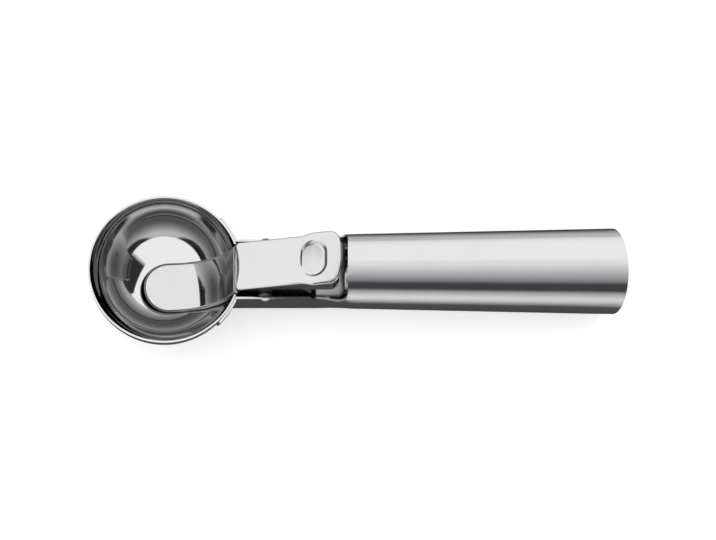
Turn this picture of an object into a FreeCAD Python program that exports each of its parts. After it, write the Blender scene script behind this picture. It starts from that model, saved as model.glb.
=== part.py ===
import FreeCAD, Part
import Sketcher
import math
import os
import re

# Lever ice cream scoop: a round bowl on a hollow tapered handle, with a thumb
# lever that swings a tongue up out of the bowl. Millimetres. X runs from the
# bowl to the end of the handle, Z is up. Sizes are written from the centre of
# the bowl's rim, and every piece is placed so that the origin ends up under
# the middle of the scoop, at the height of the bowl's lowest point.

Vector = FreeCAD.Vector
doc = FreeCAD.newDocument("lever_ice_cream_scoop")

# Driving dimensions, one plain number each
SIZES = [
    ("bowl_radius", 28.43, "outer radius of the bowl's sphere"),
    ("bowl_rise", 1.2, "height of the sphere's centre above the rim"),
    ("bowl_sheet", 0.8, "sheet of the bowl"),
    ("rim_round", 0.2, "broken edge of the rim"),
    ("notch_clear", 0.6, "bowl's notch clear of the lever, each side"),
    ("notch_depth", 9.0, "depth of the notch below the rim"),
    ("notch_corner", 3.0, "corner radius of the notch"),
    ("weld_gap", 0.05, "gap between the bowl and what is welded to it"),
    ("frame_sheet", 0.8, "sheet of the handle and its channel"),
    ("channel_room", 1.5, "channel's walls clear of the lever"),
    ("channel_corner", 5.5, "outer corner radius of the channel's floor"),
    ("axis_drop", 2.9, "handle axis below the rim"),
    ("mouth_reach", 30.6, "mouth of the tube, behind the pivot"),
    ("mouth_radius", 13.8, "outer radius of the tube at its mouth"),
    ("mouth_round", 6.0, "sweep from the channel's edges up to the mouth"),
    ("form_before", 12.0, "start of the change from channel to tube, before the mouth"),
    ("form_after", 2.0, "end of the change from channel to tube, behind the mouth"),
    ("tube_length", 96.6, "tube from its mouth to its slanted end, on its axis"),
    ("tail_radius", 15.88, "outer radius of the tube at its end"),
    ("tail_slant", 24.0, "slant of the tube's end, degrees off square"),
    ("tab_angle", 45.0, "end of the weld tabs round the bowl, degrees"),
    ("tab_drop", 0.3, "top of the weld tabs below the rim"),
    ("tab_depth", 9.0, "bottom of the weld tabs below the rim"),
    ("tab_corner", 2.5, "corner radius of the weld tabs"),
    ("cap_sheet", 1.2, "thickness of the end cap"),
    ("cap_recess", 0.8, "end cap inside the tube's edge"),
    ("hang_radius", 3.0, "radius of the hole to hang the scoop by"),
    ("plug_place", 10.0, "front of the inner plug behind the mouth"),
    ("plug_length", 4.0, "length of the inner plug"),
    ("seat_gap", 0.05, "gap round a piece that is pressed in"),
    ("pivot_reach", 8.97, "pivot behind the bowl's sphere"),
    ("pivot_drop", 1.9, "pivot below the rim"),
    ("pin_radius", 1.5, "radius of the rivet"),
    ("head_radius", 2.3, "radius of the rivet's heads"),
    ("head_height", 0.8, "height of the rivet's heads"),
    ("running_gap", 0.06, "radial play on the rivet"),
    ("side_gap", 0.3, "play beside the lever"),
    ("washer_radius", 2.8, "outer radius of the washers"),
    ("bush_radius", 2.5, "outer radius of the bush"),
    ("wire", 0.9, "wire of the return spring"),
    ("coil_play", 0.45, "play between the bush and the coil"),
    ("turn_gap", 0.5, "gap between the spring's turns"),
    ("spring_turns", 6, "whole turns of the spring, less the angle between its legs"),
    ("low_reach", 13.0, "reach of the leg on the channel's floor, behind the pivot"),
    ("high_reach", 13.0, "reach of the leg under the thumb pad, behind the pivot"),
    ("lever_sheet", 1.0, "sheet of the lever"),
    ("lever_half", 9.2, "half width of the lever"),
    ("front_gap", 0.12, "lever's front lip clear of the tongue that is welded to it"),
    ("lever_height", 4.5, "top of the lever above the rim at its front edge"),
    ("lever_slope", 19.2, "slope of the lever's top, degrees"),
    ("lever_bend", 1.25, "bend radius of the lever's edges"),
    ("lever_corner", 1.6, "corner radius at the lever's front"),
    ("lip_depth", 5.0, "bottom of the lever's front lip below the rim"),
    ("boss_radius", 4.8, "flange round the rivet"),
    ("flange_reach", 16.9, "rear end of the lever's deep flange, behind the pivot"),
    ("flange_depth", 3.0, "rear bottom of the deep flange below the rim"),
    ("pad_shift", 1.0, "widening of the thumb pad, each side"),
    ("pad_reach", 12.6, "start of the lever's widening, behind the pivot"),
    ("pad_widen", 6.0, "length of the widening"),
    ("pad_length", 16.0, "thumb pad's rear edge behind the start of the widening"),
    ("pad_crown", 25.0, "radius of the thumb pad's rear edge in plan"),
    ("pad_corner", 4.8, "length of the thumb pad's rear corners"),
    ("pad_skirt", 7.7, "bottom of the thumb pad's flange above the rim"),
    ("pad_lip", 1.3, "depth of the thumb pad's rear lip"),
    ("dish_back", 10.8, "middle of the thumb pad's dish, before the pad's rear edge"),
    ("dish_length", 10.8, "length of the dish"),
    ("dish_border", 3.1, "thumb pad beside the dish"),
    ("dish_corner", 5.2, "corner radius of the dish"),
    ("dish_depth", 1.1, "depth of the dish at its middle"),
    ("dish_tilt", 4.0, "dish deeper towards its rear, degrees"),
    ("dish_lean", 50.0, "lean of the dish's walls, degrees"),
    ("dish_round", 1.5, "round between the dish's floor and walls"),
    ("dish_edge", 0.9, "round of the dish's upper edge"),
    ("blade_sheet", 0.7, "sheet of the tongue"),
    ("blade_gap", 0.35, "tongue clear of the bowl"),
    ("blade_tip", 7.7, "tip of the tongue past the bowl's centre"),
    ("blade_top", 0.6, "upper end of the tongue above the rim"),
    ("block_reach", 1.9, "front of the guide block, behind the lever's deep flange"),
    ("block_room", 0.8, "channel's walls clear of the guide block"),
    ("block_corner", 2.4, "corner radius of the guide block's rear"),
    ("block_depth", 2.5, "bottom of the guide block below the rim"),
    ("block_under", 0.8, "guide block clear of the dish's underside"),
    ("block_clear", 1.2, "guide block clear of the mouth as it swings"),
]

# Sizes that follow from the driving dimensions
FITS = [
    ("bowl_inside", "bowl_radius - bowl_sheet"),
    ("blade_outer", "bowl_inside - blade_gap"),
    ("blade_inner", "blade_outer - blade_sheet"),
    ("blade_half", "lever_half"),
    ("notch_half", "lever_half + notch_clear"),
    ("inner_half", "lever_half + channel_room"),
    ("channel_half", "inner_half + frame_sheet"),
    ("pivot_place", "bowl_radius + pivot_reach"),
    ("mouth_place", "pivot_place + mouth_reach"),
    ("tail_place", "mouth_place + tube_length"),
    ("lever_front", "blade_outer + front_gap"),
    ("flange_end", "pivot_place + flange_reach"),
    ("pad_start", "pivot_place + pad_reach"),
    ("pad_end", "pad_start + pad_length"),
    ("pad_shoulder", "pad_end - pad_corner"),
    ("pad_half", "lever_half + pad_shift"),
    ("dish_place", "pad_end - dish_back"),
    ("dish_width", "2 * (pad_half - dish_border)"),
    ("block_start", "flange_end + block_reach"),
    ("block_half", "inner_half - block_room"),
    ("rim_outer", "sqrt(bowl_radius^2 - bowl_rise^2)"),
    ("rim_inner", "sqrt(bowl_inside^2 - bowl_rise^2)"),
    ("tube_growth", "(tail_radius - mouth_radius) / (tail_place - mouth_place)"),
    ("tail_reach", "tail_radius * tan(tail_slant * 1 deg) / (1 - tube_growth * tan(tail_slant * 1 deg))"),
    ("low_point", "bowl_radius - bowl_rise"),
    ("floor_drop", "axis_drop + mouth_radius - frame_sheet"),
    ("middle_place", "(tail_place + tail_reach - rim_outer) / 2"),
    ("flange_inside", "lever_half - lever_sheet"),
    ("washer_length", "inner_half - lever_half - side_gap - seat_gap"),
    ("bush_half", "flange_inside - side_gap"),
    ("pivot_bore", "pin_radius + running_gap"),
    ("coil_radius", "bush_radius + coil_play + wire / 2"),
    ("low_height", "floor_drop - pivot_drop - wire / 2 - seat_gap"),
    ("low_angle", "(atan(low_height / low_reach) - asin(coil_radius / sqrt(low_height^2 + low_reach^2))) / 1 deg"),
    ("pad_rise", "lever_height + (pivot_place + high_reach - lever_front) * tan(lever_slope * 1 deg)"),
    ("high_height", "pad_rise + pivot_drop - (lever_sheet + dish_depth + side_gap + wire / 2) / cos(lever_slope * 1 deg)"),
    ("high_angle", "(atan(high_height / high_reach) - asin(coil_radius / sqrt(high_height^2 + high_reach^2))) / 1 deg"),
    ("widen_radius", "(pad_widen^2 + pad_shift^2) / (4 * pad_shift)"),
    ("widen_lean", "pad_widen / 2 / widen_radius"),
    ("crown_centre", "pad_end - pad_crown"),
    ("shoulder_reach", "pad_shoulder - crown_centre"),
    ("shoulder_round", "(pad_crown^2 - shoulder_reach^2 - pad_half^2) / (2 * (pad_crown - pad_half))"),
    ("block_swing", "mouth_place - pivot_place - block_clear"),
    ("block_rise", "lever_height + (block_start - lever_front) * tan(lever_slope * 1 deg)"),
    ("block_top", "block_rise - (lever_sheet + dish_depth + block_under) / cos(lever_slope * 1 deg)"),
]

sizes = doc.addObject("Spreadsheet::Sheet", "sizes")
for row, (name, value, note) in enumerate(SIZES, 1):
    sizes.set(f"A{row}", name)
    sizes.set(f"B{row}", str(value))
    sizes.set(f"C{row}", note)
    sizes.setAlias(f"B{row}", name)
doc.recompute()

fits = doc.addObject("Spreadsheet::Sheet", "fits")
SHEET_OF = {name: "sizes" for name, _, _ in SIZES}


def bound(formula):
    """A formula with every named size read from its sheet."""
    return re.sub(r"[a-z_]+", lambda word: f"{SHEET_OF[word[0]]}.{word[0]}" if word[0] in SHEET_OF else word[0],
                  str(formula))


for row, (name, formula) in enumerate(FITS, 1):
    fits.set(f"A{row}", name)
    fits.set(f"B{row}", "=" + bound(formula).replace("fits.", ""))
    fits.setAlias(f"B{row}", name)
    SHEET_OF[name] = "fits"
    doc.recompute()


probe = doc.addObject("Spreadsheet::Sheet", "probe")


def size(formula):
    """The present value of a formula of named sizes."""
    probe.set("A1", "=" + bound(formula))
    probe.recompute()
    return float(probe.get("A1"))


# Helpers for bodies and sketches

def new_body(label):
    body = doc.addObject("PartDesign::Body", label)
    body.Label = label
    return body


def sketch_on(body, role, name, offset="0"):
    """A sketch on one of the body's own origin planes, moved along its normal."""
    sketch = body.newObject("Sketcher::SketchObject", name)
    plane = next(item for item in body.Origin.OriginFeatures if item.Role == role)
    sketch.AttachmentSupport = [(plane, "")]
    sketch.MapMode = "FlatFace"
    sketch.setExpression("AttachmentOffset.Base.z", bound(offset))
    return sketch


def pin_point(sketch, geometry, end, across, up):
    """Ties one end of an edge to two formulas."""
    for kind, axis, formula in (("DistanceX", -2, across), ("DistanceY", -1, up)):
        if formula == "0":
            sketch.addConstraint(Sketcher.Constraint("PointOnObject", geometry, end, axis))
            continue
        index = sketch.addConstraint(Sketcher.Constraint(kind, -1, 1, geometry, end, size(formula)))
        sketch.setExpression(f"Constraints[{index}]", bound(formula))


def closed_outline(sketch, corners):
    """A closed outline. Each corner is (across, up) or (across, up, radius), where the
    radius belongs to the arc that leaves the corner: plus turns left, minus turns right."""
    ends = []
    for number, corner in enumerate(corners):
        following = corners[(number + 1) % len(corners)]
        start = Vector(size(corner[0]), size(corner[1]), 0)
        stop = Vector(size(following[0]), size(following[1]), 0)
        if len(corner) == 2:
            edge = sketch.addGeometry(Part.LineSegment(start, stop))
            ends.append((edge, 1, 2))
            continue
        turn = size(corner[2])
        chord = stop - start
        rise = math.sqrt(max(turn ** 2 - chord.Length ** 2 / 4, 0.0))
        left = Vector(-chord.y, chord.x, 0).normalize()
        centre = (start + stop) * 0.5 + left * math.copysign(rise, turn)
        circle = Part.Circle(centre, Vector(0, 0, 1), abs(turn))
        low, high = (start, stop) if turn > 0 else (stop, start)
        angles = [math.atan2(point.y - centre.y, point.x - centre.x) for point in (low, high)]
        if angles[1] < angles[0]:
            angles[1] += 2 * math.pi
        edge = sketch.addGeometry(Part.ArcOfCircle(circle, angles[0], angles[1]))
        index = sketch.addConstraint(Sketcher.Constraint("Radius", edge, abs(turn)))
        sketch.setExpression(f"Constraints[{index}]", bound(f"abs({corner[2]})"))
        ends.append((edge, 1, 2) if turn > 0 else (edge, 2, 1))
    for number, (edge, first, last) in enumerate(ends):
        following = ends[(number + 1) % len(ends)]
        sketch.addConstraint(Sketcher.Constraint("Coincident", edge, last, following[0], following[1]))
        pin_point(sketch, edge, first, corners[number][0], corners[number][1])


def circle_outline(sketch, radius, across="0", up="0"):
    edge = sketch.addGeometry(Part.Circle(Vector(size(across), size(up), 0), Vector(0, 0, 1), size(radius)))
    index = sketch.addConstraint(Sketcher.Constraint("Radius", edge, size(radius)))
    sketch.setExpression(f"Constraints[{index}]", bound(radius))
    pin_point(sketch, edge, 3, across, up)


def feature(body, kind, name, sketch, **settings):
    """A sketch-based feature. Text settings are formulas bound to the sheets."""
    made = body.newObject(f"PartDesign::{kind}", name)
    made.Profile = sketch
    sketch.Visibility = False
    for key, value in settings.items():
        if isinstance(value, str) and key in ("Length", "Angle", "TaperAngle"):
            made.setExpression(key, bound(value))
        else:
            setattr(made, key, value)
    doc.recompute()
    return made


def edges_where(shape, test):
    return [f"Edge{number}" for number, edge in enumerate(shape.Edges, 1) if test(edge)]


def fillet(body, name, base, names, radius):
    made = body.newObject("PartDesign::Fillet", name)
    made.Base = (base, names)
    made.setExpression("Radius", bound(radius))
    doc.recompute()
    return made


def part_feature(label, shape):
    made = doc.addObject("Part::Feature", label)
    made.Label = label
    made.Shape = shape
    return made


# Bowl: a sphere's lower part in thin sheet, notched for the lever

def make_bowl():
    body = new_body("bowl")
    wall = sketch_on(body, "XZ_Plane", "bowl_wall")
    closed_outline(wall, [
        ("0", "bowl_rise - bowl_radius", "bowl_radius"),
        ("rim_outer", "0"),
        ("rim_inner", "0", "-bowl_inside"),
        ("0", "bowl_rise - bowl_inside"),
    ])
    shell = feature(body, "Revolution", "bowl_shell", wall, ReferenceAxis=(wall, ["V_Axis"]), Angle="360")
    rim = edges_where(shell.Shape, lambda edge: abs(edge.BoundBox.ZMin) < 1e-6 and abs(edge.BoundBox.ZMax) < 1e-6)
    fillet(body, "rim_edge", shell, rim, "rim_round")
    gap = sketch_on(body, "YZ_Plane", "notch_outline")
    closed_outline(gap, [
        ("-notch_half", "bowl_rise"),
        ("-notch_half", "notch_corner - notch_depth", "notch_corner"),
        ("notch_corner - notch_half", "-notch_depth"),
        ("notch_half - notch_corner", "-notch_depth", "notch_corner"),
        ("notch_half", "notch_corner - notch_depth"),
        ("notch_half", "bowl_rise"),
    ])
    feature(body, "Pocket", "notch", gap, Length="bowl_radius * 1.1", Reversed=True)
    return body


# Handle: one drawn sheet. A box-shaped channel changes into a round tapered tube.

def tube_radius(place):
    return size("mouth_radius") + (place - size("mouth_place")) * size("tube_growth")


def formed_section(place, roundness, inset):
    """Outline across the handle, from the channel's box form (0) to the tube's circle (1)."""
    radius = tube_radius(place) if roundness > 0 else size("mouth_radius")
    radius -= inset
    half = size("channel_half") - inset
    corner = size("channel_corner") - inset
    height = size("mouth_radius") - inset
    flat_y = half - corner
    flat_z = height - corner
    slant = corner * math.sqrt(0.5)
    box = [
        (-flat_y, -height), (0, -height), (flat_y, -height), (flat_y + slant, -flat_z - slant),
        (half, -flat_z), (half, 0), (half, flat_z), (flat_y + slant, flat_z + slant),
        (flat_y, height), (0, height), (-flat_y, height), (-flat_y - slant, flat_z + slant),
        (-half, flat_z), (-half, 0), (-half, -flat_z), (-flat_y - slant, -flat_z - slant),
    ]
    points = []
    for number, (across, up) in enumerate(box):
        angle = math.radians(-112.5 + 22.5 * number)
        round_y = radius * math.cos(angle)
        round_z = radius * math.sin(angle)
        points.append(Vector(place, across + (round_y - across) * roundness,
                             up + (round_z - up) * roundness - size("axis_drop")))
    edges = []
    for number in range(0, 16, 2):
        start, middle, stop = points[number], points[number + 1], points[(number + 2) % 16]
        straight = roundness == 0 and number % 4 == 0
        edges.append(Part.LineSegment(start, stop) if straight else Part.Arc(start, middle, stop))
    return Part.Wire([edge.toShape() for edge in edges])


def formed_solid(inset):
    """The handle's outer form, or its hollow where it is inset by the sheet."""
    front = 0.0
    start = size("mouth_place - form_before")
    stop = size("mouth_place + form_after")
    finish = size("tail_place + tail_reach + tail_radius")
    channel = Part.makeLoft([formed_section(place, 0, inset) for place in (front, start)], True, True)
    steps = [0, 0.2, 0.4, 0.6, 0.8, 1]
    change = Part.makeLoft([formed_section(start + (stop - start) * share, (1 - math.cos(math.pi * share)) / 2, inset)
                            for share in steps], True, False)
    tube = Part.makeCone(tube_radius(stop) - inset, tube_radius(finish) - inset, finish - stop,
                         Vector(stop, 0, -size("axis_drop")), Vector(1, 0, 0))
    return channel.fuse([change, tube])


def bowl_ball(extra):
    return Part.makeSphere(size("bowl_radius") + extra, Vector(0, 0, size("bowl_rise")))


def weld_tabs():
    """Two tabs that hug the bowl beside its notch, open between the channel's walls."""
    gap = size("weld_gap")
    sheet = size("frame_sheet")
    reach = size("bowl_radius") * 2
    height = size("tab_depth - tab_drop")
    facing = size("tab_angle") * 0.75
    width = size("bowl_radius + weld_gap") * math.sin(math.radians(size("tab_angle") - facing))
    half = size("inner_half")
    middle = Part.makeBox(reach, 2 * half, 2 * reach, Vector(0, -half, -reach))
    tabs = []
    for side in (-1, 1):
        strip = Part.makeBox(reach, 3 * width, height, Vector(0, -3 * width if side < 0 else 0, -size("tab_depth")))
        strip.translate(Vector(0, 2 * width if side < 0 else -2 * width, 0))
        outer = [edge for edge in strip.Edges
                 if edge.BoundBox.XLength > reach / 2 and abs(edge.CenterOfMass.y - side * width) < 1e-6]
        strip = strip.makeFillet(size("tab_corner"), outer)
        strip.rotate(Vector(0, 0, 0), Vector(0, 0, 1), side * facing)
        tabs.append(bowl_ball(gap + sheet).cut(bowl_ball(gap)).common(strip).cut(middle))
    return tabs


def make_handle():
    reach = size("bowl_radius") * 2
    blank = formed_solid(0).cut(formed_solid(size("frame_sheet")))
    mouth = size("mouth_place")
    sweep = size("mouth_round")
    start = Vector(mouth - sweep, 0, 0)
    middle = Vector(mouth - sweep + sweep * math.sqrt(0.5), 0, sweep - sweep * math.sqrt(0.5))
    top = Vector(mouth, 0, sweep)
    opening = Part.Wire([
        Part.LineSegment(Vector(-reach, 0, 0), start).toShape(),
        Part.Arc(start, middle, top).toShape(),
        Part.LineSegment(top, Vector(mouth, 0, reach)).toShape(),
        Part.LineSegment(Vector(mouth, 0, reach), Vector(-reach, 0, reach)).toShape(),
        Part.LineSegment(Vector(-reach, 0, reach), Vector(-reach, 0, 0)).toShape(),
    ])
    opening = Part.Face(opening)
    opening.translate(Vector(0, -reach, 0))
    handle = blank.cut(opening.extrude(Vector(0, 2 * reach, 0)))
    handle = handle.cut(bowl_ball(size("weld_gap")))
    behind = Part.makeBox(reach, 2 * reach, 4 * reach, Vector(0, -reach, -2 * reach))
    behind.rotate(Vector(0, 0, 0), Vector(0, 1, 0), size("tail_slant"))
    behind.translate(Vector(size("tail_place"), 0, -size("axis_drop")))
    handle = handle.cut(behind)
    handle = handle.fuse(weld_tabs())
    hole = Part.makeCylinder(size("pin_radius + seat_gap"), 4 * size("channel_half"),
                             Vector(size("pivot_place"), -2 * size("channel_half"), -size("pivot_drop")),
                             Vector(0, 1, 0))
    handle = handle.cut(hole)
    return part_feature("handle", handle.removeSplitter())


# End cap: a slanted disc inside the tube's end, with the hanging hole

def make_end_cap():
    drop = -size("axis_drop")
    reach = size("tail_radius") * 3
    slant = size("tail_slant")
    body = Part.makeCone(tube_radius(size("tail_place") - reach) - size("frame_sheet + seat_gap"),
                         tube_radius(size("tail_place") + reach) - size("frame_sheet + seat_gap"), 2 * reach,
                         Vector(size("tail_place") - reach, 0, drop), Vector(1, 0, 0))
    slab = Part.makeBox(size("cap_sheet"), 2 * reach, 2 * reach, Vector(-size("cap_recess + cap_sheet"), -reach, -reach))
    hole = Part.makeCylinder(size("hang_radius"), 2 * reach, Vector(-reach, 0, 0), Vector(1, 0, 0))
    for tool in (slab, hole):
        tool.rotate(Vector(0, 0, 0), Vector(0, 1, 0), slant)
        tool.translate(Vector(size("tail_place"), 0, drop))
    return part_feature("end_cap", body.common(slab).cut(hole))


# Plug that closes the hollow handle behind its mouth

def make_handle_plug():
    start = size("mouth_place + plug_place")
    stop = start + size("plug_length")
    gap = size("frame_sheet + seat_gap")
    plug = Part.makeCone(tube_radius(start) - gap, tube_radius(stop) - gap, stop - start,
                         Vector(start, 0, -size("axis_drop")), Vector(1, 0, 0))
    return part_feature("handle_plug", plug)


# Pivot: rivet with two domed heads, two washers and a bush

def make_pivot_pin():
    body = new_body("pivot_pin")
    half = sketch_on(body, "XY_Plane", "pin_outline", "-pivot_drop")
    shank = "channel_half"
    dome = "((head_radius - pin_radius / 3)^2 + (head_height / 2)^2) / head_height"
    closed_outline(half, [
        ("pivot_place", f"-({shank} + head_height)"),
        ("pivot_place + pin_radius / 3", f"-({shank} + head_height)", dome),
        ("pivot_place + head_radius", f"-{shank}"),
        ("pivot_place + pin_radius", f"-{shank}"),
        ("pivot_place + pin_radius", shank),
        ("pivot_place + head_radius", shank, dome),
        ("pivot_place + pin_radius / 3", f"{shank} + head_height"),
        ("pivot_place", f"{shank} + head_height"),
    ])
    turned = body.newObject("PartDesign::Revolution", "pin_turned")
    turned.Profile = half
    axis = half.addGeometry(Part.LineSegment(Vector(size("pivot_place"), -1, 0), Vector(size("pivot_place"), 1, 0)), True)
    half.addConstraint(Sketcher.Constraint("Vertical", axis))
    pin_point(half, axis, 1, "pivot_place", f"-{shank}")
    turned.ReferenceAxis = (half, ["Axis0"])
    turned.Angle = 360
    doc.recompute()
    return body


def make_pivot_bush():
    body = new_body("pivot_bush")
    ring = sketch_on(body, "XZ_Plane", "bush_outline")
    circle_outline(ring, "bush_radius", "pivot_place", "-pivot_drop")
    circle_outline(ring, "pin_radius + seat_gap", "pivot_place", "-pivot_drop")
    feature(body, "Pad", "bush", ring, Length="2 * bush_half", SideType="Symmetric")
    return body


def make_side_washers():
    rings = []
    for side in (-1, 1):
        start = Vector(size("pivot_place"), side * size("inner_half - seat_gap"), -size("pivot_drop"))
        direction = Vector(0, -side, 0)
        outer = Part.makeCylinder(size("washer_radius"), size("washer_length"), start, direction)
        inner = Part.makeCylinder(size("pin_radius + seat_gap"), size("washer_length"), start, direction)
        rings.append(outer.cut(inner))
    return part_feature("side_washers", Part.makeCompound(rings))


# Return spring: one wire, coiled round the bush, with a leg at each end

def arc_between(start, heading, stop):
    """The arc that leaves a point along a heading and ends at a second point."""
    chord = stop - start
    along = Vector(chord).normalize()
    side = heading - along * heading.dot(along)
    lean = math.atan2(side.Length, heading.dot(along))
    middle = (start + stop) * 0.5 + side.normalize() * (chord.Length / 2 * math.tan(lean / 2))
    return Part.Arc(start, middle, stop).toShape()


def two_arcs(start, heading, stop, final):
    """Two arcs that join two points and leave and arrive along the given headings."""
    gap = stop - start
    both = heading + final
    sharp = 2 * (1 - heading.dot(final))
    reach = (math.sqrt(gap.dot(both) ** 2 + sharp * gap.dot(gap)) - gap.dot(both)) / sharp
    middle = (start + heading * reach + stop - final * reach) * 0.5
    second = arc_between(stop, final * -1, middle)
    return [arc_between(start, heading, middle), second]


def make_return_spring():
    radius = size("coil_radius")
    pitch = size("wire + turn_gap")
    centre = Vector(size("pivot_place"), 0, -size("pivot_drop"))
    low_slope = size("low_angle")
    high_slope = size("high_angle")
    first = -90 - low_slope
    last = 90 + high_slope - 360 * size("spring_turns")
    quarters = math.ceil((first - last) / 90)
    climb = pitch / (2 * math.pi * radius)
    slant = 1 / math.sqrt(1 + climb ** 2)

    def place(angle):
        turned = (first - angle) / 360
        start_y = -pitch * (first - last) / 720
        return centre + Vector(radius * math.cos(math.radians(angle)), start_y + pitch * turned,
                               radius * math.sin(math.radians(angle)))

    def heading(angle):
        return Vector(math.sin(math.radians(angle)), climb, -math.cos(math.radians(angle))) * slant

    angles = [first + (last - first) * step / quarters for step in range(quarters + 1)]
    low_length = (size("low_reach") - radius * math.cos(math.radians(first))) / math.cos(math.radians(low_slope))
    high_length = (size("high_reach") - radius * math.cos(math.radians(last))) / math.cos(math.radians(high_slope))
    low_end = place(first) - heading(first) * low_length
    high_end = place(last) + heading(last) * high_length
    edges = [Part.LineSegment(low_end, place(first)).toShape()]
    for before, after in zip(angles, angles[1:]):
        edges += two_arcs(place(before), heading(before), place(after), heading(after))
    edges.append(Part.LineSegment(place(last), high_end).toShape())
    path = Part.Wire(Part.__sortEdges__(edges))
    round_wire = Part.Wire(Part.Circle(low_end, heading(first), size("wire") / 2).toShape())
    spring = path.makePipeShell([round_wire], True, False)
    expected = math.pi * (size("wire") / 2) ** 2 * path.Length
    print("spring volume over its section times its length", round(spring.Volume / expected, 4))
    print("least gap between the spring's turns", round(pitch * slant - size("wire"), 3))
    return part_feature("return_spring", spring)


# Lever: pressed sheet with side flanges, front lip and dished thumb pad

def top_height(place):
    return f"lever_height + ({place} - lever_front) * tan(lever_slope * 1 deg)"


def lever_plan(body, name, inset):
    """The lever's outline from above, inset by part of its sheet, as a trimming pocket."""
    plan = sketch_on(body, "XY_Plane", name, "lever_height + pad_end")
    nose = f"sqrt((lever_front + {inset})^2 - (lever_half - {inset})^2)"
    middle = f"pad_start + pad_widen / 2 + {inset} * widen_lean"
    middle_half = f"(lever_half + pad_shift / 2 - {inset} * sqrt(1 - widen_lean^2))"
    meet_x = f"crown_centre + shoulder_reach * (pad_crown - {inset}) / (pad_crown - shoulder_round)"
    meet_y = f"(pad_half - shoulder_round) * (pad_crown - {inset}) / (pad_crown - shoulder_round)"
    closed_outline(plan, [
        (nose, f"{inset} - lever_half"),
        ("pad_start", f"{inset} - lever_half", f"-(widen_radius + {inset})"),
        (middle, f"-{middle_half}", f"widen_radius - {inset}"),
        ("pad_start + pad_widen", f"{inset} - pad_half"),
        ("pad_shoulder", f"{inset} - pad_half", f"shoulder_round - {inset}"),
        (meet_x, f"-{meet_y}", f"pad_crown - {inset}"),
        (meet_x, meet_y, f"shoulder_round - {inset}"),
        ("pad_shoulder", f"pad_half - {inset}"),
        ("pad_start + pad_widen", f"pad_half - {inset}", f"widen_radius - {inset}"),
        (middle, middle_half, f"-(widen_radius + {inset})"),
        ("pad_start", f"lever_half - {inset}"),
        (nose, f"lever_half - {inset}", f"-(lever_front + {inset})"),
    ])
    closed_outline(plan, [
        ("-pad_end", "-pad_end"),
        ("2 * pad_end", "-pad_end"),
        ("2 * pad_end", "pad_end"),
        ("-pad_end", "pad_end"),
    ])
    return feature(body, "Pocket", f"{name}_trim", plan, Length="3 * pad_end")


def lever_form(label, side_corners, inset, top_drop):
    """The lever's outer form, or its hollow where it is inset by the sheet."""
    body = new_body(label)
    side = sketch_on(body, "XZ_Plane", f"{label}_side")
    closed_outline(side, side_corners)
    feature(body, "Pad", f"{label}_blank", side, Length="3 * pad_half", SideType="Symmetric")
    trimmed = lever_plan(body, f"{label}_plan", inset)
    corners = edges_where(trimmed.Shape, lambda edge: edge.BoundBox.XLength < 1e-4 and edge.BoundBox.YLength < 1e-4
                          and edge.CenterOfMass.x < size("lever_front + lever_bend"))
    rounded = fillet(body, f"{label}_corners", trimmed, corners, f"lever_corner - {inset}")

    def on_top(edge):
        return all(abs(point.z - size(top_height(str(point.x))) + size(top_drop)) < 1e-3
                   for point in edge.discretize(3))

    fillet(body, f"{label}_bends", rounded, edges_where(rounded.Shape, on_top), f"lever_bend - {inset}")
    floor_slope = "(lever_slope - dish_tilt)"
    floor_height = f"{top_height('dish_place')} - (dish_depth + {inset}) / cos(lever_slope * 1 deg)"
    dish = sketch_on(body, "XY_Plane", f"{label}_dish_outline")
    dish.AttachmentOffset = FreeCAD.Placement(Vector(0, 0, 0), FreeCAD.Rotation(Vector(0, 1, 0), -size(floor_slope)))
    dish.setExpression("AttachmentOffset.Base.x", bound("dish_place"))
    dish.setExpression("AttachmentOffset.Base.z", bound(floor_height))
    dish.setExpression("AttachmentOffset.Rotation.Angle", bound(f"-{floor_slope}"))
    shrink = f"dish_depth * tan(dish_lean * 1 deg) + {inset} * tan((45 - dish_lean / 2) * 1 deg)"
    long_half = f"(dish_length / 2 - {shrink})"
    wide_half = f"(dish_width / 2 - {shrink})"
    corner = f"(dish_corner - {shrink})"
    closed_outline(dish, [
        (f"{corner} - {long_half}", f"-{wide_half}"),
        (f"{long_half} - {corner}", f"-{wide_half}", corner),
        (long_half, f"{corner} - {wide_half}"),
        (long_half, f"{wide_half} - {corner}", corner),
        (f"{long_half} - {corner}", wide_half),
        (f"{corner} - {long_half}", wide_half, corner),
        (f"-{long_half}", f"{wide_half} - {corner}"),
        (f"-{long_half}", f"{corner} - {wide_half}", corner),
    ])
    known = [edge.CenterOfMass for edge in body.Shape.Edges]
    pocket = feature(body, "Pocket", f"{label}_dish", dish, Length="4 * dish_depth", Reversed=True,
                     TaperAngle="dish_lean")

    def is_new(edge):
        return all(edge.CenterOfMass.distanceToPoint(place) > 1e-3 for place in known)

    def on_floor(edge):
        rise = math.tan(math.radians(size(floor_slope)))
        start = size(floor_height)
        middle = size("dish_place")
        return all(abs(point.z - start - (point.x - middle) * rise) < 1e-3 for point in edge.discretize(3))

    floor_edges = edges_where(pocket.Shape, lambda edge: is_new(edge) and on_floor(edge))
    soft = fillet(body, f"{label}_dish_floor", pocket, floor_edges, f"dish_round + {inset}")
    if inset == "0":
        top_edges = edges_where(soft.Shape, lambda edge: is_new(edge) and on_top(edge))
        fillet(body, f"{label}_dish_edge", soft, top_edges, "dish_edge")
    return body


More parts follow.
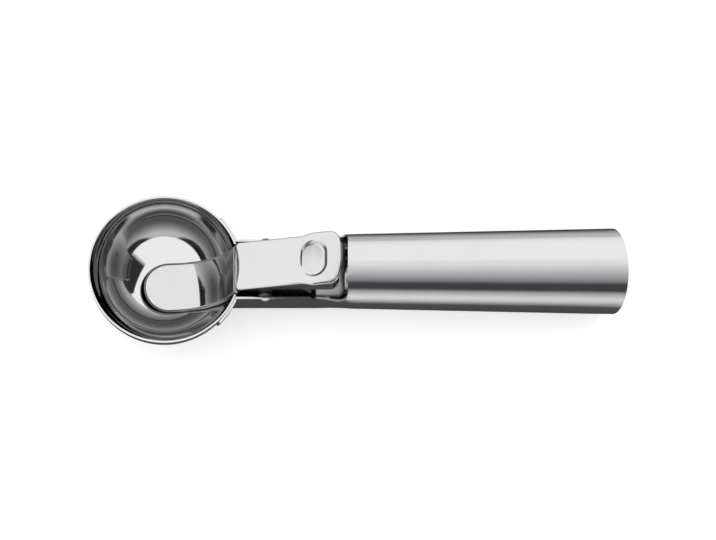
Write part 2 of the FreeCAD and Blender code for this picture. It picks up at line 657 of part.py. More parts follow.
def make_lever():
    over = "pad_end + lever_bend"
    front = "lever_front - 2 * lever_bend"
    rear = "(pad_end - lever_bend)"
    boss_low = "-pivot_drop - boss_radius"
    outer = lever_form("lever_outer", [
        (front, top_height(f"({front})")),
        (front, "-lip_depth"),
        ("pivot_place - 1.5 * boss_radius", "-lip_depth"),
        ("pivot_place - boss_radius / 2", boss_low),
        ("pivot_place + boss_radius", boss_low),
        ("flange_end", "-flange_depth"),
        ("flange_end", "pad_skirt"),
        ("pad_shoulder", "pad_skirt", "pad_end - lever_bend - pad_shoulder"),
        (rear, "pad_skirt + pad_end - lever_bend - pad_shoulder"),
        (rear, top_height(rear) + " - pad_lip"),
        (over, top_height(f"({over})") + " - pad_lip"),
        (over, top_height(f"({over})")),
    ], "0", "0")
    drop = "lever_sheet / cos(lever_slope * 1 deg)"
    hollow = lever_form("lever_hollow", [
        (front, top_height(f"({front})") + f" - {drop}"),
        (front, "-pad_end"),
        (over, "-pad_end"),
        (over, top_height(f"({over})") + f" - {drop}"),
    ], "lever_sheet", drop)
    sheet = doc.addObject("Part::Cut", "lever_sheet_form")
    sheet.Base = outer
    sheet.Tool = hollow
    bore = doc.addObject("Part::Cylinder", "lever_bore")
    bore.setExpression("Radius", bound("pivot_bore"))
    bore.setExpression("Height", bound("4 * pad_half"))
    bore.Placement = FreeCAD.Placement(Vector(0, 0, 0), FreeCAD.Rotation(Vector(1, 0, 0), -90))
    bore.setExpression("Placement.Base.x", bound("pivot_place"))
    bore.setExpression("Placement.Base.y", bound("-2 * pad_half"))
    bore.setExpression("Placement.Base.z", bound("-pivot_drop"))
    lever = doc.addObject("Part::Cut", "lever")
    lever.Label = "lever"
    lever.Base = sheet
    lever.Tool = bore
    doc.recompute()
    return lever


# Tongue: a strip of sphere along the inside of the bowl, round at its tip

def make_ejector_blade():
    body = new_body("ejector_blade")
    wall = sketch_on(body, "XZ_Plane", "blade_wall")
    lift = "(blade_top - bowl_rise)"
    closed_outline(wall, [
        ("0", "bowl_rise - blade_outer", "blade_outer"),
        (f"sqrt(blade_outer^2 - {lift}^2)", "blade_top"),
        (f"sqrt(blade_inner^2 - {lift}^2)", "blade_top", "-blade_inner"),
        ("0", "bowl_rise - blade_inner"),
    ])
    feature(body, "Revolution", "blade_shell", wall, ReferenceAxis=(wall, ["V_Axis"]), Angle="360")
    plan = sketch_on(body, "XY_Plane", "blade_plan", "bowl_radius")
    closed_outline(plan, [
        ("blade_half - blade_tip", "-blade_half"),
        ("2 * bowl_radius", "-blade_half"),
        ("2 * bowl_radius", "blade_half"),
        ("blade_half - blade_tip", "blade_half", "blade_half"),
        ("-blade_tip", "0", "blade_half"),
    ])
    closed_outline(plan, [
        ("-3 * bowl_radius", "-3 * bowl_radius"),
        ("3 * bowl_radius", "-3 * bowl_radius"),
        ("3 * bowl_radius", "3 * bowl_radius"),
        ("-3 * bowl_radius", "3 * bowl_radius"),
    ])
    feature(body, "Pocket", "blade_trim", plan, Length="3 * bowl_radius")
    return body


# Guide block: moulded block under the thumb pad, its rear face round about the pivot

def make_guide_block():
    body = new_body("guide_block")

    def on_swing(up):
        return f"pivot_place + sqrt(block_swing^2 - ({up} + pivot_drop)^2)"

    high = sketch_on(body, "XZ_Plane", "block_high")
    closed_outline(high, [
        ("block_start", "0"),
        (on_swing("0"), "0", "block_swing"),
        (on_swing("block_top"), "block_top"),
        ("block_start", "block_top"),
    ])
    feature(body, "Pad", "block_head", high, Length="3 * pad_half", SideType="Symmetric")
    lever_plan(body, "block_plan", "(lever_sheet + seat_gap)")
    low = sketch_on(body, "XZ_Plane", "block_low")
    ledge = "pad_skirt - seat_gap"
    closed_outline(low, [
        ("block_start", "-block_depth"),
        (on_swing("-block_depth"), "-block_depth", "block_swing"),
        (on_swing(f"({ledge})"), ledge),
        ("block_start", ledge),
    ])
    base = feature(body, "Pad", "block_base", low, Length="2 * block_half", SideType="Symmetric")
    rear = edges_where(base.Shape, lambda edge: abs(abs(edge.CenterOfMass.y) - size("block_half")) < 1e-6
                       and edge.Curve.TypeId == "Part::GeomCircle")
    fillet(body, "block_corners", base, rear, "block_corner")
    return body


pieces = [
    make_bowl(),
    make_handle(),
    make_end_cap(),
    make_handle_plug(),
    make_pivot_pin(),
    make_pivot_bush(),
    make_side_washers(),
    make_return_spring(),
    make_lever(),
    make_ejector_blade(),
    make_guide_block(),
]

# Every piece goes to the origin under the middle of the scoop
for piece in pieces:
    piece.setExpression("Placement.Base.x", bound("-middle_place"))
    piece.setExpression("Placement.Base.z", bound("low_point"))
doc.recompute()

for item in doc.Objects:
    if "Invalid" in item.State or "Error" in item.State:
        raise RuntimeError(f"{item.Name} did not build: {item.State}")

os.makedirs("parts", exist_ok=True)
for piece in pieces:
    shape = piece.Shape
    if shape.isNull() or not shape.isValid() or not shape.Solids:
        raise RuntimeError(f"{piece.Label} is not a valid solid")
    shape.exportStep(f"parts/{piece.Label}.step")
    box = shape.BoundBox
    print(f"{piece.Label}: {len(shape.Solids)} solid(s), volume {shape.Volume:.1f}, X {box.XMin:.2f} to {box.XMax:.2f},"
          f" Y {box.YMin:.2f} to {box.YMax:.2f}, Z {box.ZMin:.2f} to {box.ZMax:.2f}")

print(f"pivot at X {size('pivot_place - middle_place'):.3f}, Z {size('low_point - pivot_drop'):.3f}")
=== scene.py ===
import math

import bmesh
import bpy
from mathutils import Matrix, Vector


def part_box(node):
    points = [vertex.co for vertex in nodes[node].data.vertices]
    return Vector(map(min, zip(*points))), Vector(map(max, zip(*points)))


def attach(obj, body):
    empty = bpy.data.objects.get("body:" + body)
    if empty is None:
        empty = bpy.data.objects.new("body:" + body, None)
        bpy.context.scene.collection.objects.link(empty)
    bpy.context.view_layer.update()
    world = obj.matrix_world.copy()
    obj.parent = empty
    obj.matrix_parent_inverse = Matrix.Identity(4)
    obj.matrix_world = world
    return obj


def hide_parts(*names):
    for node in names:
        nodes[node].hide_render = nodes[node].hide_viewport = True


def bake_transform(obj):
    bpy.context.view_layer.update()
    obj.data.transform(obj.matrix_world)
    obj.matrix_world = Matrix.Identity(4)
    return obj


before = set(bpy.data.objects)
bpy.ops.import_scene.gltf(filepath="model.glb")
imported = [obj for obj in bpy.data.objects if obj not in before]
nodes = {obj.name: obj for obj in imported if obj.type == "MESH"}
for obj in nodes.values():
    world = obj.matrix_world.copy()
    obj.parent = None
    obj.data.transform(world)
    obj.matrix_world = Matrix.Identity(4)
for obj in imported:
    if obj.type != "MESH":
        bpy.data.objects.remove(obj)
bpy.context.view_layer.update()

# The camera: over the scoop and leaning to the near side of the rivet, nearly without perspective
VIEW_LEAN = math.radians(16.8)
VIEW_TARGET = Vector((0.00004, 0.0, 0.02615))
VIEW_WIDTH = 0.2652
LENS = 800
SENSOR = 36
TOWARDS_CAMERA = Vector((0, -math.sin(VIEW_LEAN), math.cos(VIEW_LEAN)))

# Sizes that the CAD model has and its boxes don't say
BOWL_SHEET = 0.0008
HANDLE_SHEET = 0.00085
HANDLE_AXIS_Z = 0.02433
CAD_SLANT = math.radians(24)


def add_object(name, mesh):
    made = bpy.data.objects.new(name, mesh)
    bpy.context.scene.collection.objects.link(made)
    return made


def make_camera():
    data = bpy.data.cameras.new("camera")
    data.lens = LENS
    data.sensor_width = SENSOR
    data.clip_start = 0.01
    data.clip_end = 100
    camera = add_object("camera", data)
    camera.location = VIEW_TARGET + TOWARDS_CAMERA * (VIEW_WIDTH * LENS / SENSOR)
    camera.rotation_mode = "QUATERNION"
    camera.rotation_quaternion = (-TOWARDS_CAMERA).to_track_quat("-Z", "Y")
    bpy.context.scene.camera = camera


make_camera()
bpy.context.scene.view_settings.view_transform = "Standard"

# How a noise is squeezed along x, y and z. Its lines run across the axis that is squeezed most.
EVEN = (1, 1, 1)
ROUND_TUBE = (12, 0.6, 0.6)
ALONG_SHEET = (0.6, 10, 0.6)


class Tree:
    """A node tree with short calls for its nodes and links."""

    def __init__(self, owner):
        owner.use_nodes = True
        self.tree = owner.node_tree
        self.tree.nodes.clear()

    def add(self, kind, **inputs):
        node = self.tree.nodes.new(kind)
        for name, value in inputs.items():
            self.put(node, name.replace("_", " "), value)
        return node

    def put(self, node, socket, value):
        """Sets an input, by its name or number, to a value, or links another node's output to it."""
        if isinstance(value, bpy.types.NodeSocket):
            self.tree.links.new(value, node.inputs[socket])
        else:
            node.inputs[socket].default_value = value

    def fill(self, node, *values):
        """Puts values into a node's first inputs."""
        for index, value in enumerate(values):
            self.put(node, index, value)
        return node.outputs[0]

    def math(self, operation, *values):
        node = self.add("ShaderNodeMath")
        node.operation = operation
        return self.fill(node, *values)

    def plus(self, first, second):
        return self.math("ADD", first, second)

    def minus(self, first, second):
        return self.math("SUBTRACT", first, second)

    def times(self, first, second):
        return self.math("MULTIPLY", first, second)

    def larger(self, first, second):
        return self.math("MAXIMUM", first, second)

    def square(self, value):
        return self.times(value, value)

    def ramp(self, value, stops):
        """A ramp of greys; stops are (place, grey), the first at 0."""
        node = self.add("ShaderNodeValToRGB")
        elements = node.color_ramp.elements
        elements[1].position = stops[-1][0]
        elements[0].color = (*(stops[0][1],) * 3, 1)
        elements[1].color = (*(stops[-1][1],) * 3, 1)
        for place, grey in stops[1:-1]:
            elements.new(place).color = (*(grey,) * 3, 1)
        return self.fill(node, value)

    def span(self, value, low, high, out_low=0.0, out_high=1.0, smooth=False):
        """Goes from out_low to out_high as the value goes from low to high."""
        node = self.add("ShaderNodeMapRange")
        node.interpolation_type = "SMOOTHSTEP" if smooth else "LINEAR"
        return self.fill(node, value, low, high, out_low, out_high)

    def soft(self, value, low, high, out_low=0.0, out_high=1.0):
        return self.span(value, low, high, out_low, out_high, smooth=True)

    def noise(self, place, scale, detail, stretch=EVEN):
        mapping = self.add("ShaderNodeMapping", Scale=stretch)
        self.put(mapping, "Vector", place)
        node = self.add("ShaderNodeTexNoise", Scale=scale, Detail=detail)
        self.put(node, "Vector", mapping.outputs[0])
        return node.outputs[0]

    def place(self):
        """Where the shaded point is in its object's own axes, in metres."""
        return self.add("ShaderNodeTexCoord").outputs["Object"]

    def split(self, vector):
        node = self.add("ShaderNodeSeparateXYZ")
        self.put(node, 0, vector)
        return node.outputs

    def light_path(self):
        return self.add("ShaderNodeLightPath").outputs

    def mix_colour(self, factor, first, second, blend="MIX"):
        node = self.add("ShaderNodeMix")
        node.data_type = "RGBA"
        node.blend_type = blend
        for socket, value in ((0, factor), (6, first), (7, second)):
            self.put(node, socket, value)
        return node.outputs[2]

    def mix_vector(self, factor, first, second):
        node = self.add("ShaderNodeMix")
        node.data_type = "VECTOR"
        for socket, value in ((0, factor), (4, first), (5, second)):
            self.put(node, socket, value)
        return node.outputs[1]

    def mix_shader(self, factor, first, second):
        return self.fill(self.add("ShaderNodeMixShader"), factor, first, second)

    def bump(self, height, strength, distance):
        node = self.add("ShaderNodeBump", Strength=strength, Distance=distance)
        self.put(node, "Height", height)
        return node

    def surface(self, shader, kind="ShaderNodeOutputMaterial"):
        self.put(self.add(kind), "Surface", shader)


# Materials. Noise values lie mostly between NOISE_LOW and NOISE_HIGH.
NOISE_LOW, NOISE_HIGH = 0.3, 0.7
FINE_GRAIN = 900.0
BRUSHED_GRAIN = 500.0
STEEL_CLOUD = 60.0
STEEL_CLOUD_TONE = 0.96
MOULD_GRAIN = 2500.0
MOULD_CLOUD = 120.0
MOULD_CLOUD_TONE = 0.93
MOULD_SPREAD = 0.06
# Painted shade: the tongue's colour darkens towards the lever, from one x to another and down to a share of
# its tone. This is a guess that stands in for the darker reflections seen there.
TONGUE_PAINTED_SHADE = (-0.055, -0.046, 0.55)
# The lever's pressed dish. Its front is the side towards the bowl.
DISH = {"x": -0.0165, "half_length": 0.0054, "half_width": 0.0070, "edge": 0.3, "shift": 0.25,
        "far_rise": 0.00125, "front_rise": 0.00125 / 3}


def hollow_normal(tree, x, y, hollow):
    """The normal inside the lever's dish, which rises towards its far side and its front."""
    along = tree.math("DIVIDE", tree.minus(x, hollow["x"]), hollow["half_length"])
    across = tree.math("DIVIDE", y, hollow["half_width"])
    inside = tree.minus(1.0, tree.plus(tree.square(along), tree.square(across)))
    far = tree.larger(tree.plus(across, hollow["shift"]), 0.0)
    front = tree.larger(tree.minus(0.0, along), 0.0)
    rise = tree.plus(tree.times(tree.square(far), hollow["far_rise"]),
                     tree.times(tree.square(front), hollow["front_rise"]))
    dish = tree.bump(rise, 1.0, 1.0).outputs[0]
    flat = tree.add("ShaderNodeNewGeometry").outputs["Normal"]
    return tree.mix_vector(tree.soft(inside, 0.0, hollow["edge"]), flat, dish)


def metal(name, colour, rough, rough_spread, grain, stretch, grain_bump, painted_shade=None, hollow=None):
    """Steel: a grain that may lie one way, a cloudy change of shine and a faint change of tone."""
    material = bpy.data.materials.new(name)
    tree = Tree(material)
    place = tree.place()
    x, y, _ = tree.split(place)
    grain_noise = tree.noise(place, grain, 3.0, stretch)
    cloud_noise = tree.noise(place, STEEL_CLOUD, 4.0)
    shine = tree.plus(tree.span(grain_noise, NOISE_LOW, NOISE_HIGH, -rough_spread, rough_spread),
                      tree.span(cloud_noise, NOISE_LOW, NOISE_HIGH,
                                rough - rough_spread / 2, rough + rough_spread / 2))
    tone = tree.span(cloud_noise, NOISE_LOW, NOISE_HIGH, STEEL_CLOUD_TONE, 1)
    # Painted shade: where given, the colour darkens along x from start to end
    if painted_shade:
        start, end, end_tone = painted_shade
        tone = tree.times(tone, tree.soft(x, start, end, 1.0, end_tone))
    bump = tree.bump(grain_noise, grain_bump, 0.0001)
    if hollow:
        tree.put(bump, "Normal", hollow_normal(tree, x, y, hollow))
    shader = tree.add("ShaderNodeBsdfPrincipled", Metallic=1.0)
    tree.put(shader, "Base Color", tree.mix_colour(1.0, (*colour, 1), tone, "MULTIPLY"))
    tree.put(shader, "Roughness", shine)
    tree.put(shader, "Normal", bump.outputs[0])
    tree.surface(shader.outputs[0])
    return material


def plastic(name, colour, rough):
    """Moulded plastic: matt, with a fine mould texture and a faint change of tone."""
    material = bpy.data.materials.new(name)
    tree = Tree(material)
    place = tree.place()
    fine = tree.noise(place, MOULD_GRAIN, 3.0)
    cloud = tree.noise(place, MOULD_CLOUD, 3.0)
    tone = tree.span(cloud, NOISE_LOW, NOISE_HIGH, MOULD_CLOUD_TONE, 1.0)
    shader = tree.add("ShaderNodeBsdfPrincipled")
    tree.put(shader, "Base Color", tree.mix_colour(1.0, (*colour, 1), tone, "MULTIPLY"))
    tree.put(shader, "Roughness",
             tree.span(fine, NOISE_LOW, NOISE_HIGH, rough - MOULD_SPREAD, rough + MOULD_SPREAD))
    tree.put(shader, "Normal", tree.bump(fine, 0.25, 0.0002).outputs[0])
    tree.surface(shader.outputs[0])
    return material


bowl_steel = metal("polished_steel", (0.84, 0.84, 0.85), 0.05, 0.015, FINE_GRAIN, EVEN, 0.03)
tongue_steel = metal("polished_steel_tongue", (0.77, 0.77, 0.78), 0.06, 0.02, FINE_GRAIN, EVEN, 0.03,
                     painted_shade=TONGUE_PAINTED_SHADE)
tube_steel = metal("satin_steel_tube", (0.82, 0.82, 0.83), 0.13, 0.02, BRUSHED_GRAIN, ROUND_TUBE, 0.08)
sheet_steel = metal("satin_steel_sheet", (0.83, 0.83, 0.835), 0.17, 0.03, BRUSHED_GRAIN, ALONG_SHEET, 0.06)
lever_steel = metal("satin_steel_lever", (0.8, 0.8, 0.805), 0.17, 0.03, BRUSHED_GRAIN, ALONG_SHEET, 0.06,
                    hollow=DISH)
# Painted shade: darker than the other satin steel pieces, so that the washers show less in the gap beside the
# lever
painted_dark_washer_steel = metal("satin_steel_washer_painted_dark", (0.22, 0.22, 0.225), 0.45, 0.05, FINE_GRAIN, EVEN, 0.1)
spring_steel = metal("spring_steel", (0.55, 0.55, 0.56), 0.25, 0.05, FINE_GRAIN, EVEN, 0.1)
grey_plastic = plastic("grey_plastic", (0.44, 0.45, 0.41), 0.5)

FINISH = {
    "bowl": bowl_steel, "pivot_pin": bowl_steel, "pivot_bush": sheet_steel,
    "handle": tube_steel, "end_cap": sheet_steel, "lever": lever_steel, "return_spring": spring_steel,
    "side_washers": painted_dark_washer_steel, "handle_plug": grey_plastic, "guide_block": grey_plastic,
}
for node_name, material in FINISH.items():
    mesh = nodes[node_name].data
    mesh.materials.clear()
    mesh.materials.append(material)


# The tongue: a strip bent one way only, with rolled edges, that stands a little off the bowl along its middle
TONGUE_SHEET = 0.0013
TONGUE_ROLL = 0.0011
TONGUE_BREAK = 0.0002
TONGUE_WIDEN = 0.0002
TONGUE_PLAY = 0.0003
EDGE_STEPS = 8
BEND_STEPS = 72
STRAIGHT_STEPS = 14
TIP_STEPS = 40

bowl_low, bowl_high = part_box("bowl")
blade_low, blade_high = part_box("ejector_blade")
rim_radius = (bowl_high[1] - bowl_low[1]) / 2
bowl_radius = (rim_radius ** 2 + bowl_high[2] ** 2) / (2 * bowl_high[2])
bowl_centre = Vector((bowl_low[0] + rim_radius, 0, bowl_radius))
tongue_half = (blade_high[1] - blade_low[1]) / 2 + TONGUE_WIDEN


def tongue_line():
    """The strip's middle line, from its tip round the bowl and straight up to the lever.

    Each point is its x and z from the bowl's centre, the strip's angle there and the length up to it."""
    under = math.sqrt((bowl_radius - BOWL_SHEET) ** 2 - tongue_half ** 2) - TONGUE_PLAY
    middle = under - TONGUE_SHEET / 2
    end = Vector((blade_high[0] - bowl_centre.x - TONGUE_SHEET / 2, blade_high[2] - bowl_centre.z))
    turn = math.atan2(end.x, -end.y) - math.acos(middle / end.length)
    straight = math.sqrt(end.length ** 2 - middle ** 2)
    start = math.asin((blade_low[0] - bowl_centre.x) / middle)
    points = []
    for step in range(BEND_STEPS + 1):
        angle = start + (turn - start) * step / BEND_STEPS
        points.append((middle * math.sin(angle), -middle * math.cos(angle), angle))
    for step in range(1, STRAIGHT_STEPS + 1):
        along = straight * step / STRAIGHT_STEPS
        points.append((middle * math.sin(turn) + along * math.cos(turn),
                       -middle * math.cos(turn) + along * math.sin(turn), turn))
    travel = 0.0
    line = [(*points[0], travel)]
    for before, after in zip(points, points[1:]):
        travel += math.hypot(after[0] - before[0], after[1] - before[1])
        line.append((*after, travel))
    return line


def spot(line, along):
    """The x, z and angle of the middle line at a length along it."""
    for before, after in zip(line, line[1:]):
        if after[3] >= along or after is line[-1]:
            share = (along - before[3]) / (after[3] - before[3])
            return [a + (b - a) * share for a, b in zip(before[:3], after[:3])]


def tongue_outline(line):
    """The outline's rows as (length along, half width): the tip's half circle, then the straight sides."""
    rows = []
    for step in range(TIP_STEPS + 1):
        angle = math.pi / 2 * step / TIP_STEPS
        rows.append((tongue_half * (1 - math.cos(angle)), tongue_half * math.sin(angle)))
    return rows + [(point[3], tongue_half) for point in line if point[3] > tongue_half * 1.01]


def tongue_section():
    """The edge's section as (inset, rise): a small lower round, then the rolled upper edge."""
    half = TONGUE_SHEET / 2
    turns = [math.pi / 2 * step / EDGE_STEPS for step in range(EDGE_STEPS + 1)]
    lower = [(TONGUE_BREAK * (1 - math.sin(turn)), TONGUE_BREAK * (1 - math.cos(turn)) - half)
             for turn in turns]
    upper = [(TONGUE_ROLL * (1 - math.cos(turn)), half - TONGUE_ROLL * (1 - math.sin(turn)))
             for turn in turns]
    return lower + upper


def tongue_ring(build, line, rows, inset, rise):
    """Points round the outline, moved in by inset and off the middle surface by rise."""
    ring = []
    for sign, side_rows in ((1, rows), (-1, rows[:0:-1])):
        for along, width in side_rows:
            if along < tongue_half:
                reach = (tongue_half - inset) / tongue_half
                along, width = tongue_half - (tongue_half - along) * reach, width * reach
            else:
                width -= inset
            x, z, angle = spot(line, min(along, line[-1][3] - inset))
            ring.append(build.verts.new((bowl_centre.x + x - math.sin(angle) * rise, sign * width,
                                         bowl_centre.z + z + math.cos(angle) * rise)))
    return ring


def close_face(build, ring, count):
    """Closes the strip's upper or lower face with strips straight across it."""
    build.faces.new((ring[0], ring[1], ring[-1]))
    for row in range(1, count - 1):
        build.faces.new((ring[row], ring[row + 1], ring[-row - 1], ring[-row]))


def make_tongue():
    line = tongue_line()
    rows = tongue_outline(line)
    build = bmesh.new()
    rings = [tongue_ring(build, line, rows, inset, rise) for inset, rise in tongue_section()]
    for lower, upper in zip(rings, rings[1:]):
        for number in range(len(lower)):
            following = (number + 1) % len(lower)
            build.faces.new((lower[number], lower[following], upper[following], upper[number]))
    for ring in (rings[0], rings[-1]):
        close_face(build, ring, len(rows))
    bmesh.ops.recalc_face_normals(build, faces=build.faces)
    for face in build.faces:
        face.smooth = True
    mesh = bpy.data.meshes.new("tongue")
    build.to_mesh(mesh)
    build.free()
    mesh.materials.append(tongue_steel)
    made = add_object("tongue", mesh)
    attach(made, "lever_body")
    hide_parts("ejector_blade")


make_tongue()


# The handle's slanted end: a shallower cut than the CAD model's, turned to the near side about its axis
END_SLANT = math.radians(20)
END_TURN = VIEW_LEAN
END_REACH = 0.003


def turn_end(node_name):
    """A copy of a node with its slanted end cut anew."""
    made = add_object(node_name + "_turned_end", nodes[node_name].data.copy())
    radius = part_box("end_cap")[1][1] + HANDLE_SHEET
    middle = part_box("handle")[1][0] - math.tan(CAD_SLANT) * radius
    spare = (math.tan(CAD_SLANT) - math.tan(END_SLANT)) * radius
    for vertex in made.data.vertices:
        y, z = vertex.co.y, vertex.co.z - HANDLE_AXIS_Z
        if vertex.co.x < middle + math.tan(CAD_SLANT) * z - END_REACH:
            continue
        lean = z * math.cos(END_TURN) - y * math.sin(END_TURN)
        vertex.co.x += math.tan(END_SLANT) * lean - math.tan(CAD_SLANT) * z + spare
    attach(made, "handle_body")
    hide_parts(node_name)


for node_name in ("handle", "end_cap"):
    turn_end(node_name)


# The return spring: a copy of the CAD model's spring, with its place baked into its mesh
def make_spring():
    made = add_object("spring_wire", nodes["return_spring"].data.copy())
    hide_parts("return_spring")
    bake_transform(made)


make_spring()


# The floor, tilted so that the bowl and the handle's end both touch it
FLOOR_HALF = 3.0
FLOOR_TILT = math.radians(3.14)
FLOOR_DROP = 0.0003
HANDLE_FOOT = Vector((0.0859, 0, 0.0086))
FLOOR_GLOW = 0.45
# Steel doesn't see the white that the camera sees here. It sees a painted shadow instead: greys by the
# distance from a line under the scoop, which is LINE_HALF long each way, and darker ones on the far side.
LINE_HALF = 0.075
GREYS_REACH = 0.2
FLOOR_PAINTED_SHADOW_IN_STEEL = [(0.0, 0.05), (0.2, 0.09), (0.235, 0.28), (0.35, 0.62), (0.58, 0.85), (1.0, 0.86)]
FAR_SIDE_WIDTH = 0.03
FAR_SIDE_TONE = 0.66


def floor_material():
    """White to the camera and with the object's shadow, but with a painted shadow of greys of its own in
    steel.
    """
    material = bpy.data.materials.new("floor")
    tree = Tree(material)
    x, y, _ = tree.split(tree.place())
    beyond = tree.larger(tree.minus(tree.math("ABSOLUTE", x), LINE_HALF), 0.0)
    away = tree.math("SQRT", tree.plus(tree.square(beyond), tree.square(y)))
    # Painted shadow in steel: dark close to the line under the scoop, paler farther off, darker on the far
    # side
    in_steel = tree.ramp(tree.span(away, 0.0, GREYS_REACH), FLOOR_PAINTED_SHADOW_IN_STEEL)
    in_steel = tree.times(in_steel, tree.span(y, 0.0, FAR_SIDE_WIDTH, 1.0, FAR_SIDE_TONE))
    path = tree.light_path()
    diffuse = tree.add("ShaderNodeBsdfDiffuse", Color=(0.8, 0.8, 0.8, 1)).outputs[0]
    glow = tree.add("ShaderNodeEmission", Color=(1, 1, 1, 1))
    tree.put(glow, "Strength", tree.times(path["Is Camera Ray"], FLOOR_GLOW))
    pale = tree.fill(tree.add("ShaderNodeAddShader"), diffuse, glow.outputs[0])
    seen_in_steel = tree.add("ShaderNodeEmission", Color=(1, 1, 1, 1))
    tree.put(seen_in_steel, "Strength", in_steel)
    tree.surface(tree.mix_shader(path["Is Glossy Ray"], pale, seen_in_steel.outputs[0]))
    return material


def make_floor():
    mesh = bpy.data.meshes.new("floor")
    build = bmesh.new()
    corners = ((-1, -1), (1, -1), (1, 1), (-1, 1))
    build.faces.new([build.verts.new((x * FLOOR_HALF, y * FLOOR_HALF, 0)) for x, y in corners])
    build.to_mesh(mesh)
    build.free()
    mesh.materials.append(floor_material())
    made = add_object("floor", mesh)
    made.rotation_euler = (0, -FLOOR_TILT, 0)
    made.location.z = HANDLE_FOOT.z - HANDLE_FOOT.x * math.tan(FLOOR_TILT) - FLOOR_DROP


make_floor()


# The flag: a painted dark reflection on a strip of a round wall about the handle's axis. Only reflections
# from nearby see it.
# Its angles are from the vertical to the near side.
FLAG_RADIUS = 0.06
FLAG_START = -20
FLAG_END = 100
FLAG_LOW_X = -0.046
FLAG_HIGH_X = 0.16
FLAG_STEPS = 24
FLAG_PAINTED_DARK_COLOUR = (0.016, 0.021, 0.028, 1)
# How much it hides from its first angle to its last: a slow rise, the dark strip and a quicker fall
FLAG_COVER = [
    (0.0, 0.0), (0.11, 0.08), (0.21, 0.24), (0.31, 0.42), (0.4, 0.58), (0.5, 0.76), (0.545, 0.9),
    (0.565, 0.97), (0.705, 0.97), (0.73, 0.82), (0.8, 0.42), (0.9, 0.1), (1.0, 0.0)]
# The share of its length over which it fades out at its bowl end
FLAG_FADE = 0.03
SEEN_WITHIN = 0.058
UNSEEN_BEYOND = 0.064


def painted_reflection_flag_material():
    material = bpy.data.materials.new("painted_reflection_flag")
    tree = Tree(material)
    across, along, _ = tree.split(tree.add("ShaderNodeUVMap").outputs[0])
    cover = tree.ramp(across, FLAG_COVER)
    near = tree.span(tree.light_path()["Ray Length"], SEEN_WITHIN, UNSEEN_BEYOND, 1, 0)
    cover = tree.times(tree.times(cover, near), tree.soft(along, 0.0, FLAG_FADE))
    clear = tree.add("ShaderNodeBsdfTransparent").outputs[0]
    dark = tree.add("ShaderNodeEmission", Color=FLAG_PAINTED_DARK_COLOUR, Strength=1.0).outputs[0]
    tree.surface(tree.mix_shader(cover, clear, dark))
    return material


def make_painted_reflection_flag():
    mesh = bpy.data.meshes.new("painted_reflection_flag")
    build = bmesh.new()
    uv = build.loops.layers.uv.new("UVMap")
    rows = []
    for step in range(FLAG_STEPS + 1):
        angle = math.radians(FLAG_START + (FLAG_END - FLAG_START) * step / FLAG_STEPS)
        y = -FLAG_RADIUS * math.sin(angle)
        z = HANDLE_AXIS_Z + FLAG_RADIUS * math.cos(angle)
        rows.append([build.verts.new((x, y, z)) for x in (FLAG_LOW_X, FLAG_HIGH_X)])
    for step in range(FLAG_STEPS):
        face = build.faces.new([rows[step][0], rows[step][1], rows[step + 1][1], rows[step + 1][0]])
        places = [(step, 0), (step, 1), (step + 1, 1), (step + 1, 0)]
        for loop, (across, along) in zip(face.loops, places):
            loop[uv].uv = (across / FLAG_STEPS, along)
    build.to_mesh(mesh)
    build.free()
    mesh.materials.append(painted_reflection_flag_material())
    made = add_object("painted_reflection_flag", mesh)
    made.visible_camera = False
    made.visible_diffuse = False
    made.visible_shadow = False
    made.visible_transmission = False


make_painted_reflection_flag()


# The light: a bright dome, greyer near the horizon. The camera sees white instead of it. Steel also meets
# painted dark
# reflections in fixed directions: a panel, and at a second reflection a lens, a boom and the room's ends, and
# less light.
DOME = [(0.0, 0.75), (0.17, 0.8), (0.5, 0.95), (1.0, 1.0)]
DOME_LOW_Z = -0.1
DOME_HIGH_Z = 0.5
PANEL_PAINTED_DARK = 0.97
PANEL_START_SOFT = (0.0, 0.05)
PANEL_TOP_X = 1.19
PANEL_TOP_Y = 0.61
PANEL_TOP_SOFT = (-0.02, 0.03)
PANEL_NEAR_X = 0.66
PANEL_NEAR_SOFT = (-0.1, 0.1)
PANEL_FAR_X = 0.6
PANEL_FAR_SOFT = (-0.03, 0.03)
# A painted dark reflection named the lens lies in the direction of the camera made above, and stays there
# when the camera moves
LENS_PAINTED_DARK = 0.95
LENS_INNER = math.radians(2)
LENS_OUTER = math.radians(4)
BOOM_PAINTED_DARK = 0.85
BOOM_LEAN = VIEW_LEAN - math.radians(14)
BOOM_SPREAD = math.radians(48)
ENDS_PAINTED_DARK = 0.95
ENDS_SLOPE = 1.4
ENDS_SOFT = (-0.05, 0.15)
SECOND_DEPTH = 1.5
SECOND_PAINTED_LOSS = 0.34


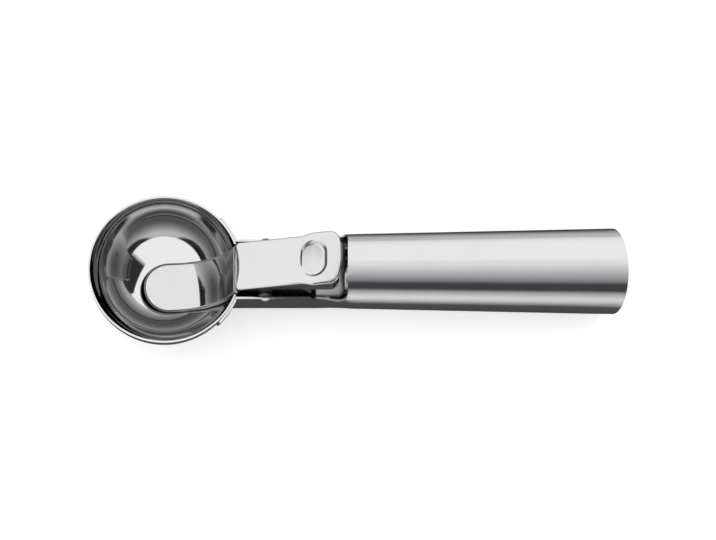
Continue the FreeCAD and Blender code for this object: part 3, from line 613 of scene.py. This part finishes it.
def painted_dark_panel(tree, x, y, z):
    """A painted dark reflection: a panel beyond the handle with four soft edges."""
    ahead = tree.span(x, *PANEL_START_SOFT)
    top = tree.minus(tree.minus(tree.times(x, PANEL_TOP_X), tree.times(y, PANEL_TOP_Y)), z)
    under = tree.soft(top, *PANEL_TOP_SOFT)
    near_side = tree.soft(tree.plus(y, tree.times(x, PANEL_NEAR_X)), *PANEL_NEAR_SOFT)
    far_side = tree.soft(tree.minus(tree.times(x, PANEL_FAR_X), y), *PANEL_FAR_SOFT)
    return tree.times(tree.times(ahead, under), tree.times(near_side, far_side))


def painted_dark_above(tree, y, z):
    """Painted dark reflections named the lens over the scoop and the boom that carries it."""
    to_lens = tree.plus(tree.times(y, TOWARDS_CAMERA.y), tree.times(z, TOWARDS_CAMERA.z))
    lens = tree.soft(to_lens, math.cos(LENS_OUTER), math.cos(LENS_INNER), 0, LENS_PAINTED_DARK)
    to_boom = tree.minus(tree.times(z, math.cos(BOOM_LEAN)), tree.times(y, math.sin(BOOM_LEAN)))
    return tree.larger(lens, tree.span(to_boom, math.cos(BOOM_SPREAD), 1.0, 0, BOOM_PAINTED_DARK))


def light_world():
    world = bpy.data.worlds.new("studio")
    bpy.context.scene.world = world
    tree = Tree(world)
    x, y, z = tree.split(tree.add("ShaderNodeTexCoord").outputs["Generated"])
    path = tree.light_path()
    dome = tree.ramp(tree.span(z, DOME_LOW_Z, DOME_HIGH_Z), DOME)
    second = tree.math("GREATER_THAN", path["Glossy Depth"], SECOND_DEPTH)
    sideways = tree.minus(tree.times(tree.math("ABSOLUTE", x), ENDS_SLOPE), z)
    painted_dark_ends = tree.soft(sideways, *ENDS_SOFT, 0, ENDS_PAINTED_DARK)
    shade = tree.times(tree.larger(painted_dark_above(tree, y, z), painted_dark_ends), second)
    dark = tree.larger(tree.times(painted_dark_panel(tree, x, y, z), PANEL_PAINTED_DARK), shade)
    steel = tree.times(tree.minus(1.0, dark), dome)
    # Painted shade: steel's second reflections lose a share of their light
    steel = tree.times(steel, tree.minus(1.0, tree.times(second, SECOND_PAINTED_LOSS)))
    light = tree.mix_colour(path["Is Glossy Ray"], dome, steel)
    background = tree.add("ShaderNodeBackground", Strength=1.0)
    tree.put(background, "Color", tree.mix_colour(path["Is Camera Ray"], light, (1, 1, 1, 1)))
    tree.surface(background.outputs[0], "ShaderNodeOutputWorld")


light_world()
